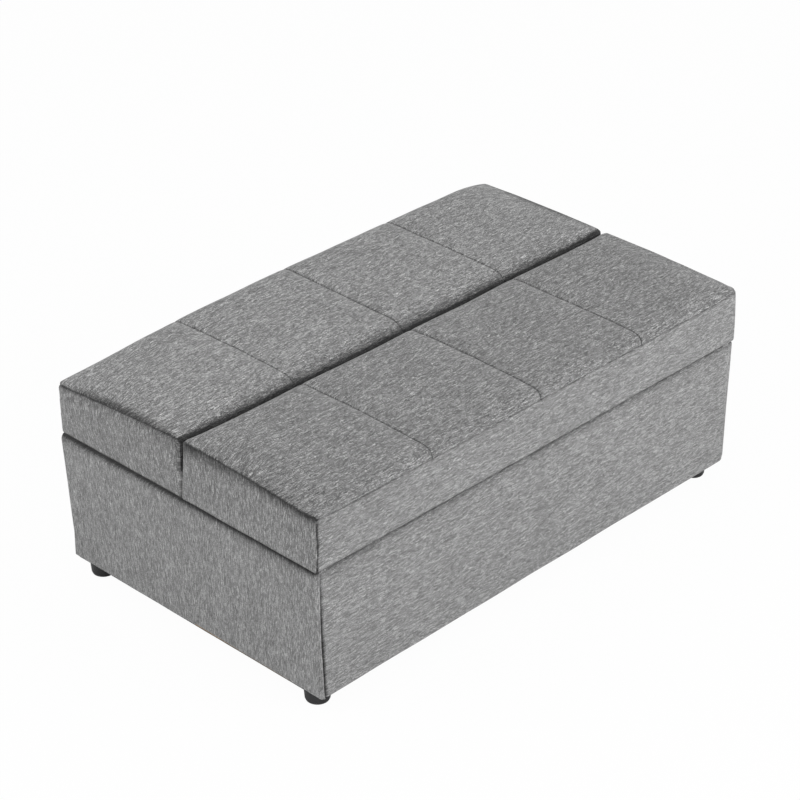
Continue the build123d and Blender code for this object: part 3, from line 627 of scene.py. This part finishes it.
@dataclass
class Cushion:
    """One long cushion: crowned panels, rolled edges, boxing, sewn seams and hinge slots.

    Its prefix is the name of its body. Flares say how far the left and the right end stand out,
    at the underside and the top. Rises are the heights of shoulder, crown and split over the
    seam, and the end shade is that over the end seam and under it.
    """

    prefix: str
    side: int
    seed: float
    split_roll: Floats
    flares: tuple[Floats, Floats]
    end_lean: float
    end_shade: tuple[float, float]
    inner: float = 4 * MM
    spread: float = 6 * MM
    bulge: float = 1.5 * MM
    seam_lift: float = 110 * MM
    seam_sway: float = 1.6 * MM
    corner_lift: float = 0.0
    lift_reach: float = 90 * MM
    back_bow: float = 0.0
    edge_roll: float = 34 * MM
    rises: Floats = mm(23, 26.5, 25)
    end_rises: Floats = mm(7, 17, 20)
    far_rises: Floats = mm(9, 17, 20)
    end_split_roll: float = 9 * MM
    end_blend: float = 40 * MM
    shoulder_blend: float = 40 * MM
    flare_reach: float = 100 * MM
    flare_at_split: float = 0.2
    corner_seam: float = 5 * MM
    corner_radii: Floats = mm(5, 13)
    end_draw: float = 2.8 * MM
    draw_reach: float = 40 * MM
    split_shade: float = 0.0
    panels: int = 4
    cap: float = 2.5 * MM
    pin_height: float = 430 * MM
    slot_x: Floats = mm(440.5, 464.3)

    def __post_init__(self) -> None:
        """Read the cushion's box from the frame."""
        low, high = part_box(f"{self.prefix}_cover")
        self.half_length = high.x - self.bulge
        self.bottom = low.z
        self.outer = max(abs(low.y), abs(high.y)) + self.spread
        self.top = high.z
        panel = 2 * self.half_length / self.panels
        self.cross_seams = [k * panel - self.half_length for k in range(1, self.panels)]

    def rise(self, x: float, u: float) -> float:
        """How far the top lies above the seam height at a place on the cushion.

        Args:
            x: Place along the length, in metres.
            u: Distance outward from the split, in metres.

        Returns:
            The rise in metres, which is negative low in the roll at the split.
        """
        to_end = self.half_length - abs(x)
        soft = eased(to_end / self.end_blend)
        ends = self.far_rises if x > 0 else self.end_rises
        shoulder, crown, split = (blend(a, b, soft) for a, b in zip(ends, self.rises))
        if x < 0:
            shoulder = blend(ends[0], self.rises[0], eased(to_end / self.shoulder_blend))
        wide, deep = (blend(self.end_split_roll, r, soft) for r in self.split_roll)
        edge = min(1.0, (u - self.outer + self.edge_roll) / self.edge_roll)
        if edge > 0:
            lift = self.corner_lift * near(x + self.half_length, self.lift_reach) ** 2
            return shoulder * (1 - edge ** 3) ** (1 / 3) + lift * edge
        across = (u - self.inner) / (self.outer - self.edge_roll - self.inner)
        crowned = 4 * (crown - (shoulder + split) / 2) * across * (1 - across)
        roll = min(1.0, near(u - self.inner, wide))
        return blend(split, shoulder, across) + crowned - deep * (1 - (1 - roll * roll) ** 0.5)

    def flare(self, x: float, t: float) -> float:
        """How far the end on the side of x stands out, at a part t of its height."""
        return blend(*self.flares[0 if x < 0 else 1], t)

    def shape(self) -> BMesh:
        """The cushion before it swells: a divided box moved to the cushion's sections."""
        end = self.half_length
        first, second = end - self.corner_seam, end - 3 * self.corner_seam
        marks = [-end, -first, -second, *self.cross_seams, second, first, end]
        xs = stations(marks, 2, 2, 22, 24, 24, 22, 2, 2)
        us = [self.inner + r for r in SPLIT_ROWS]
        us += stations((us[-1], self.outer - self.edge_roll), 20)[1:-1]
        us += [self.outer - self.edge_roll * (1 - sin(radians(a))) for a in EDGE_ANGLES]
        mesh = gridded_box(xs, us, [blend(self.bottom, self.top, r) for r in HEIGHTS])
        mesh.normal_update()
        for face in mesh.faces:
            face.material_index = self.region(face.calc_center_median(), face.normal)
        for vert in mesh.verts:
            self.place(vert)
        if self.side < 0:
            bmesh.ops.scale(mesh, vec=(1, -1, 1), verts=mesh.verts)
        facing_out(mesh)
        return mesh

    def place(self, vert: BMVert) -> None:
        """Move one vertex of the divided box to the cushion's own shape."""
        x, u, z = vert.co
        t = (z - self.bottom) / (self.top - self.bottom)
        across = (u - self.inner) / (self.outer - self.inner)
        to_end = self.half_length - abs(x)
        swell = sin(pi * t)
        vert.co = self.rounded(x, u, t * (self.seam_lift + self.rise(x, u)))
        lean = self.end_lean * (1 - t / 2) if x < 0 else 0.0
        vert.co.y -= (self.end_draw + lean) * near(to_end, self.draw_reach) * near(across, 1 / 8)
        out = self.flare(x, t) * blend(self.flare_at_split, 1.0, across)
        vert.co.x += out * near(to_end, self.flare_reach) ** 2 * (1 if x > 0 else -1)
        vert.co.y += self.back_bow * max(0.0, across) ** 2 * (1 - (x / self.half_length) ** 2)
        if u >= self.outer - TINY:
            vert.co.y += self.bulge * swell
        if to_end <= TINY:
            vert.co.x += copysign(self.bulge * swell * max(0.0, sin(pi * across)) ** 0.5, x)
        if t > 0.99 and to_end > self.corner_seam:
            vert.co.x += noise.noise(Vector((x * 9, u * 22, self.seed))) * self.seam_sway

    def rounded(self, x: float, u: float, height: float) -> Vector:
        """Round the lower edges and the upright corners of the square box.

        Args:
            x: Place along the length.
            u: Distance outward from the split.
            height: Height above the underside.

        Returns:
            The place of that point on the rounded cushion.
        """
        radius = blend(*self.corner_radii, min(1.0, height / self.seam_lift))
        gaps = (self.half_length - abs(x), min(self.outer - u, u - self.inner), height)
        push = Vector([near(gap, radius) for gap in gaps])
        if push.length < TINY:
            return Vector((x, u, self.bottom + height))
        pull = push * (radius * (1 - max(push) / push.length))
        outward = 1 if u > (self.inner + self.outer) / 2 else -1
        z = self.bottom + height + pull.z
        return Vector((x - copysign(pull.x, x), u - outward * pull.y, z))

    def region(self, middle: Vector, normal: Vector) -> Region:
        """The panel of cloth that a face of the divided box belongs to."""
        if normal.z < -0.5:
            return Region.UNDERSIDE
        if abs(normal.x) > 0.5:
            turned = middle.x > 0 and middle.y > self.outer - self.corner_seam
            return Region.BOXING if turned else Region.END
        if normal.z > 0.5:
            index = sum(middle.x > x for x in self.cross_seams)
            return Region.TOP_ODD if index % 2 else Region.TOP_EVEN
        return Region.END if middle.x < self.corner_seam - self.half_length else Region.BOXING

    def swell(self, piece: Object) -> None:
        """Blow the cover up against its seams with a short cloth simulation."""
        rest = coordinates(piece.data)
        held = piece.vertex_groups.new(name=SWELLING["vertex_group_mass"])
        faces_of: dict[int, set[int]] = {}
        for polygon in piece.data.polygons:
            for index in polygon.vertices:
                faces_of.setdefault(index, set()).add(polygon.material_index)
        pinned = [i for i, slots in faces_of.items()
                  if len(slots) > 1 or Region.UNDERSIDE in slots]
        held.add(pinned, 1.0, "REPLACE")
        modifier = piece.modifiers.new("Swell", "CLOTH")
        for name, value in SWELLING.items():
            setattr(modifier.settings, name, value)
        modifier.settings.effector_weights.gravity = 0
        modifier.point_cache.frame_start = 1
        modifier.point_cache.frame_end = SWELL_FRAMES
        scene = bpy.context.scene
        for step in range(1, SWELL_FRAMES + 1):
            scene.frame_set(step)
        applied(piece)
        scene.frame_set(1)
        move = coordinates(piece.data) - rest
        size = np.linalg.norm(move, axis=1, keepdims=True)
        capped = move * np.minimum(1.0, self.cap / np.maximum(size, 1e-9))
        piece.data.vertices.foreach_set("co", (rest + capped).ravel())
        piece.vertex_groups.clear()

    def sew(self, piece: Object) -> None:
        """Draw in the seams: cross seams, boxing seams, end seams and corner seams."""
        mesh = bmesh.new()
        mesh.from_mesh(piece.data)
        odd, even, boxing, end = Region.TOP_ODD, Region.TOP_EVEN, Region.BOXING, Region.END
        trees = (
            widened(mesh, seam_edges(mesh, (odd, even)), 8 * MM, 10),
            widened(mesh, seam_edges(mesh, (odd, boxing), (even, boxing)), 5 * MM, 8),
            widened(mesh, seam_edges(mesh, (odd, end), (even, end)), 2.6 * MM, 6),
            widened(mesh, seam_edges(mesh, (end, boxing)), 3 * MM, 6),
        )
        mesh.normal_update()
        # Painted shade for the cloth: dark seam lines, the lower hem, both sides of the end seams
        # and the split
        painted_shade_layer = mesh.verts.layers.float.new("seam")
        moves = []
        for vert in mesh.verts:
            point = SeamPoint(self, vert, trees)
            vert[painted_shade_layer] = min(1.0, point.shade())
            outward = vert.normal
            if max(point.edge, point.corner) < 8:
                x, y, _ = vert.co
                outward = Vector((copysign(1, x), copysign(1, y), 1)).normalized()
            moves.append(-outward * (point.depth() * MM))
        for vert, move in zip(mesh.verts, moves):
            vert.co += move
            self.trim_corner(vert)
        mesh.to_mesh(piece.data)
        mesh.free()
        piece.data.shade_smooth()

    def trim_corner(self, vert: BMVert) -> None:
        """Pull a vertex that sticks out at an upright corner back to the round of that corner."""
        x, y, z = vert.co
        radius = self.corner_radii[0]
        t = min(1.0, (z - self.bottom) / self.seam_lift)
        end = self.half_length + self.flare(x, t) + 0.5 * MM
        centre = Vector((end - radius, self.outer + self.bulge * sin(pi * t) - radius))
        out = Vector((abs(x), abs(y))) - centre
        if min(out) > 0 and out.length > radius:
            place = centre + out.normalized() * radius
            vert.co.x, vert.co.y = copysign(place.x, x), copysign(place.y, y)

    def settle(self, piece: Object) -> None:
        """Lay the underside flat above its lining, which its unevenness would come through."""
        low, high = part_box(f"{self.prefix}_lining")
        margin, clearance = mm(3, 1)
        for vert in piece.data.vertices:
            x, y, z = vert.co
            inside = min(x - low.x, high.x - x, y - low.y, high.y - y)
            if inside > -margin and z < self.bottom + margin:
                vert.co.z = low.z + clearance

    def cut_slots(self, piece: Object) -> None:
        """Cut the two slots that the hinge plates use, lower where the split would show them."""
        below = self.bottom - 20 * MM
        outline = [(y, self.pin_height + z) for y, z in SLOT]
        outline = [(SLOT[0][0], below), *outline, (SLOT[-1][0], below)]
        cutter = bmesh.new()
        for side in (-1, 1):
            low, high = sorted(side * x for x in self.slot_x)
            face = cutter.faces.new([cutter.verts.new((low, self.side * y, z)) for y, z in outline])
            pushed(cutter, [face], (high - low, 0, 0), closed=True)
        facing_out(cutter)
        for face in cutter.faces:
            face.material_index = Region.INSIDE
        tool = to_object(cutter, "slot_cutter", piece.data.materials)
        tool.data.shade_flat()
        modified(piece, "BOOLEAN", operation="DIFFERENCE", solver="EXACT", material_mode="INDEX",
                 object=tool)
        bpy.data.objects.remove(tool)

    def build(self) -> None:
        """Make the finished cushion and hand it to the frame."""
        # The tops and the ends take copies of the cloth toned as painted light and shade
        top = SHADED_SEAT_TOP if self.side < 0 else LIT_BACKREST_TOP
        cloths = [c.material() for c in (top, top, ALONG, SHADED_ENDS, ALONG, FOAM)]
        piece = to_object(self.shape(), f"{self.prefix}_cushion", cloths)
        self.swell(piece)
        modified(piece, "SUBSURF", levels=1, render_levels=1)
        undulate(piece, 1 * MM, 0.085, self.seed)
        self.settle(piece)
        self.cut_slots(piece)
        self.sew(piece)
        nodes = (f"{self.prefix}_cover", f"{self.prefix}_foam")
        finish_piece(piece, self.prefix, "upholstery", *nodes)


class SeamPoint:
    """One vertex of a cushion's cover and its distances from the seams, in millimetres."""

    def __init__(self, cushion: Cushion, vert: BMVert, trees: Iterable[KDTree]) -> None:
        """Measure the vertex.

        Args:
            cushion: The cushion that it belongs to.
            vert: The vertex.
            trees: Points along the cross seams, boxing seams, end seams and corner seams.
        """
        place, seed = vert.co, cushion.seed
        self.cushion = cushion
        self.cross, self.level, self.edge, self.corner = (t.find(place)[2] / MM for t in trees)
        nearest = min(cushion.cross_seams, key=lambda seam: abs(place.x - seam))
        self.beside = (place.x - nearest) / MM
        self.length_part = place.x / cushion.half_length
        self.inward = (abs(place.y) - cushion.inner) / MM
        across = self.inward * MM / (cushion.outer - cushion.inner)
        self.across = min(1.0, max(0.0, across))
        self.low = (place.z - cushion.bottom) / MM
        self.pucker = waver(place / (14 * MM) + Vector((seed, 0, 0)))
        self.slow = waver(place / (70 * MM) + Vector((0, seed, 0)))
        self.on_end = abs(vert.normal.x) > 0.7
        self.faces_level = abs(vert.normal.z) > 0.9
        self.at_split = self.inward < 1
        self.corner_share = 0.3 if self.inward < 20 else 1.0

    def depth(self) -> float:
        """How far the seams draw the cover in there, in millimetres."""
        ridge = 0.5 * bell(self.cross, 9) * bell(self.beside - 4.5, 1.8)
        return max(
            1.5 * bell(self.cross, 1.3) + 1.2 * bell(self.cross, 8) - ridge,
            0.0 if self.at_split else bell(self.level, 1.3),
            (2.4 + 1.8 * self.pucker) * bell(self.edge, 2.4),
            (1.2 + self.pucker) * self.corner_share * bell(self.corner, 1.6),
        )

    def shade(self) -> float:
        """Painted shade along the seams, at the hem and in the split, from 0 up."""
        # Painted shade along the lower edge of the sides, where the cushion sits over the base
        hem_shade = 0.0 if self.faces_level else bell(self.low, 3.5)
        return max(
            0.9 * bell(self.cross, 1.6),
            0.0 if self.at_split else (0.4 + 0.45 * self.slow) * bell(self.level, 1.5),
            bell(max(0.0, self.edge - 1.2), 2.6),
            0.75 * self.corner_share * bell(self.corner, 1.4),
            0.5 * self.corner_share * bell(self.edge, 5) * bell(self.corner, 7),
            (0.85 if self.on_end else 0.6) * hem_shade,
            self.end_seam_shade(),
            self.split_dark(),
        )

    def end_seam_shade(self) -> float:
        """The soft shade on both sides of an end seam, over it and under it."""
        # Painted shade beside the end seams, made patchy by the pucker noise
        over, under = self.cushion.end_shade
        arch = max(0.0, sin(pi * self.across)) ** 0.6
        if self.on_end:
            deep = 9 + 9 * under * (1 - self.across)
            strength = under * (0.5 + 0.5 * self.pucker) * (1.1 - 0.4 * arch)
            return strength * bell(self.edge, deep)
        wide = bell(max(0.0, self.edge - 7 * arch), 4 + 7 * arch)
        return over * (0.8 + 0.2 * self.pucker) * arch * wide

    def split_dark(self) -> float:
        """The shade in the split between the cushions, which is widest along the middle."""
        shade = self.cushion.split_shade
        if not shade or self.on_end or self.low < 60:
            return 0.0
        reach = 8 + 11 * max(0.0, 1 - self.length_part ** 4)
        return max(shade * bell(self.inward, reach), bell(max(0.0, self.inward - 7), 4))


# Base


@dataclass
class BaseCover:
    """One sewn panel of the base cover, turned in over the rim of the box.

    Each pair is for the underside and the top: how far the panel stands proud, and how far its
    left and right corner stand out, or the rear and the front one of a side panel.
    """

    where: str
    along_x: bool
    side: int
    seed: float
    thickness: float = 8 * MM
    inner_layer: float = 4 * MM
    rim: float = 4 * MM
    rim_depth: float = 16 * MM
    hem: float = 6 * MM
    seam_reach: float = 12 * MM
    proud: Floats = mm(7, 7)
    bow: float = 0.0
    corners: tuple[Floats, Floats] = (mm(-6, 7), mm(11, 9))
    corner_reach: float = 120 * MM
    corner_radius: float = 6 * MM
    front_proud: float = 7 * MM
    seam_inset: float = 5 * MM

    def build(self) -> None:
        """Make the panel: a divided slab, softened, with its seams turned in."""
        node = f"base_cover_{self.where}"
        low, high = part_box(node)
        if self.along_x:
            first, last = low.x + self.seam_inset, high.x - self.seam_inset
            face = max(abs(low.y), abs(high.y))
        else:
            first, last = low.y - self.front_proud, high.y + self.front_proud
            face = max(abs(low.x), abs(high.x))
        reach, edge = self.seam_reach, high.z - self.rim
        mesh = gridded_box(
            stations((first, first + reach, last - reach, last), 8, 90, 8),
            [face - self.thickness, face - self.inner_layer, face],
            stations((low.z, low.z + self.hem, edge - reach, edge, high.z), 4, 24, 4, 4),
        )
        mesh.normal_update()
        self.turn_in_rim(mesh, edge)
        # Painted shade for the cloth, kept in the seam attribute
        painted_shade_layer = mesh.verts.layers.float.new("seam")
        for vert in mesh.verts:
            if vert.co.y > face - self.inner_layer - 1 * MM:
                vert[painted_shade_layer] = self.soften(vert, (first, last), (low.z, high.z))
        if not self.along_x:
            quarter = Matrix.Rotation(-pi / 2, 3, "Z")
            bmesh.ops.rotate(mesh, cent=(0, 0, 0), matrix=quarter, verts=mesh.verts)
        if self.side < 0:
            turn = (1, -1, 1) if self.along_x else (-1, 1, 1)
            bmesh.ops.scale(mesh, vec=turn, verts=mesh.verts)
        facing_out(mesh)
        cloth = ALONG if self.along_x else UPRIGHT
        piece = to_object(mesh, f"{self.where}_cover", [cloth.material()])
        modified(piece, "SUBSURF", levels=1, render_levels=1)
        undulate(piece, 1.1 * MM, 0.16, self.seed)
        finish_piece(piece, "base", "upholstery", node)

    def turn_in_rim(self, mesh: BMesh, height: float) -> None:
        """Extend the top of the slab inward, over the edge of the timber."""
        faces = [f for f in mesh.faces if f.normal.y < -0.5 and f.calc_center_median().z > height]
        pushed(mesh, faces, (0, -self.rim_depth, 0))
        bmesh.ops.delete(mesh, geom=faces, context="FACES")

    def soften(self, vert: BMVert, span: tuple[float, float],
               heights: tuple[float, float]) -> float:
        """Round one vertex of the outer face toward the sewn ends, the hem and the rim.

        Args:
            vert: The vertex.
            span: Where the panel starts and ends along its length.
            heights: The panel's lowest and highest place.

        Returns:
            Painted shade there, from 0 to 1: under the rim, at the sewn ends and at the bottom.
        """
        along, _, height = vert.co
        wave = noise.noise(Vector((along * 8, height * 30, self.seed)))
        grain = waver(Vector((along * 120, height * 60, self.seed)))
        above, below = (height - heights[0]) / MM, (heights[1] - height) / MM
        to_end = min(along - span[0], span[1] - along)
        drop = 2.5 * MM * bell(above, 3.5) + 4 * MM * bell(below, 4)
        # Painted shade under the rim where the lid overhangs it, stronger on the side panels and
        # made patchy by noise
        shade = 0.8 if self.along_x else 1.0
        under_rim = (0.25 + 0.4 * grain) * bell(below, 13)
        dark = shade * max(bell(below, 5 * shade), under_rim)
        if self.along_x:
            seam = max(0.0, to_end / MM - 0.8 - 1.4 * wave)
            drop += (3 + wave) * MM * bell(seam, 2.2)
            # Painted shade along the sewn end
            dark = max(dark, 0.85 * bell(seam, 1.5))
        else:
            radius = self.corner_radius
            inside = min(radius, max(0.0, radius - to_end))
            drop += radius - (radius ** 2 - inside ** 2) ** 0.5
        t = (height - heights[0]) / (heights[1] - heights[0])
        part = (along - span[0]) / (span[1] - span[0])
        vert.co.y += blend(*self.proud, t) - self.bow * sin(pi * part) - drop
        corner = blend(*self.corners[0 if along < 0 else 1], t)
        vert.co.x += corner * near(to_end, self.corner_reach) ** 2 * (1 if along > 0 else -1)
        # Painted shade along the bottom edge too
        return max(dark, 0.35 * bell(above, 2.5))


def stretched_sheet(name: str, node: str, body: str, sag: float) -> None:
    """A thin cloth stretched under a panel, sagging a little between its staples.

    Args:
        name: The new piece's name.
        node: The CAD node that it stands for.
        body: The body that it rides on.
        sag: How far its middle hangs below its edges, in metres.
    """
    low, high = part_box(node)
    centre, size = (low + high) / 2, high - low
    xs, ys = stations((low.x, high.x), 60), stations((low.y, high.y), 20)
    mesh = gridded_box(xs, ys, [low.z, high.z])
    for vert in mesh.verts:
        a = 2 * (vert.co.x - centre.x) / size.x
        b = 2 * (vert.co.y - centre.y) / size.y
        vert.co.z -= sag * max(0.0, (1 - a ** 4) * (1 - b ** 2))
    piece = to_object(mesh, name, [LINING.material()])
    undulate(piece, 0.4 * MM, 0.03, 3.0)
    finish_piece(piece, body, "lining_cloth", node)


def dress_nodes() -> None:
    """Give every CAD node that still shows its own finish."""
    for name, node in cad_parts.items():
        finish = next(f for f, words in NODE_FINISHES.items() if any(w in name for w in words))
        node.data.materials.clear()
        node.data.materials.append(finish.material())


# Camera and light


@dataclass(frozen=True)
class Lamp:
    """One soft square lamp that faces the object."""

    name: str
    place: Triple
    power: float
    size: float = 2.2
    aim: Triple = (0, 0, 0.25)

    def build(self) -> None:
        """Put the lamp in the scene."""
        data = bpy.data.lights.new(self.name, "AREA")
        data.energy = self.power
        data.size = self.size
        lamp = placed(self.name, data)
        lamp.location = self.place
        aim = Vector(self.aim) - Vector(self.place)
        lamp.rotation_euler = aim.to_track_quat("-Z", "Y").to_euler()


@dataclass(frozen=True)
class Studio:
    """Camera, lamps, world and floor."""

    camera_place: Triple = (-3.4045, -3.287, 3.0435)
    camera_turn: Triple = (59.794, 0.052, -45.874)
    lens: float = 122.6
    world_light: float = 0.5
    floor_size: float = 8.0
    floor_colour: Floats = (0.92, 0.92, 0.92, 1)
    floor_glow: float = 0.97
    lamps: tuple[Lamp, ...] = (
        Lamp("Key", (1.0, -3.6, 1.9), power=74.0), Lamp("Fill", (-2.5, 0.7, 2.4), power=30.0)
    )

    def camera(self) -> None:
        """Stand the camera where the photograph was taken."""
        data = bpy.data.cameras.new("Camera")
        data.lens = self.lens
        camera = placed("Camera", data)
        camera.location = self.camera_place
        camera.rotation_euler = Euler([radians(a) for a in self.camera_turn], "XYZ")
        bpy.context.scene.camera = camera

    def world(self) -> None:
        """Pale even light, seen as white by the camera."""
        world = bpy.data.worlds.new("Studio")
        world.use_nodes = True
        bpy.context.scene.world = world
        nodes = NodeBuilder(world.node_tree)
        back = world.node_tree.nodes["Background"]
        path = nodes.add("ShaderNodeLightPath").outputs
        seen = nodes.math("MAXIMUM", path["Is Camera Ray"], path["Is Glossy Ray"])
        seen = nodes.math("MAXIMUM", seen, path["Is Transmission Ray"])
        strength = nodes.remap(seen, 0.0, 1.0, self.world_light, 1.0)
        nodes.feed(back, {"Color": (1, 1, 1, 1), "Strength": strength})

    def floor(self) -> None:
        """A plain white floor that keeps a faint shadow of the object."""
        mesh = bmesh.new()
        bmesh.ops.create_grid(mesh, x_segments=4, y_segments=4, size=self.floor_size)
        material, nodes, shader = new_material("Floor")
        nodes.feed(shader, {"Base Color": self.floor_colour, "Roughness": 0.9})
        glow = nodes.add("ShaderNodeEmission", {"Color": (1, 1, 1, 1), "Strength": 1.0})
        path = nodes.add("ShaderNodeLightPath").outputs
        share = nodes.math("MULTIPLY", path["Is Camera Ray"], self.floor_glow)
        mixed = {0: share, 1: shader.outputs[0], 2: glow.outputs[0]}
        mix = nodes.add("ShaderNodeMixShader", mixed).outputs[0]
        nodes.feed(material.node_tree.nodes["Material Output"], {"Surface": mix})
        to_object(mesh, "floor", [material])

    def build(self) -> None:
        """Set up everything that isn't part of the object."""
        self.camera()
        self.world()
        self.floor()
        for lamp in self.lamps:
            lamp.build()
        bpy.context.scene.view_settings.view_transform = "Standard"


def main() -> None:
    """Build the pieces in order around the frame."""
    logging.basicConfig(level=logging.INFO, format="%(name)s %(message)s")
    dress_nodes()
    Cushion("seat", -1, seed=1.7, split_roll=mm(16, 16), flares=(mm(5, 4), mm(6, 9)),
            corner_lift=4 * MM, end_shade=(0.25, 1.4), end_lean=8 * MM).build()
    Cushion("backrest", 1, seed=5.3, split_roll=mm(38, 33),
            flares=(mm(-1, 5), mm(5, 8)), rises=mm(31, 29, 26), end_rises=mm(4, 15, 20),
            far_rises=mm(15, 21, 21), end_blend=110 * MM, shoulder_blend=560 * MM,
            back_bow=6 * MM, end_shade=(1.0, 0.8), split_shade=0.85, end_lean=-8 * MM).build()
    BaseCover("front", along_x=True, side=-1, seed=2.1).build()
    BaseCover("rear", along_x=True, side=1, seed=4.6, proud=mm(0, 7)).build()
    BaseCover("left", along_x=False, side=-1, seed=7.9, proud=mm(-6, 7), bow=1 * MM,
              corners=(mm(-7, 3), mm(1, 0))).build()
    BaseCover("right", along_x=False, side=1, seed=9.2, proud=mm(11, 9),
              corners=(mm(0, 0), mm(-7, 0))).build()
    for body in ("seat", "backrest"):
        stretched_sheet(f"{body}_underlining", f"{body}_lining", body, 1.5 * MM)
    stretched_sheet("base_underlining", "underside_cloth", "base", 2.5 * MM)
    Studio().build()


if __name__ == "__main__":
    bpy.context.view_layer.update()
    main()
    bpy.context.view_layer.update()
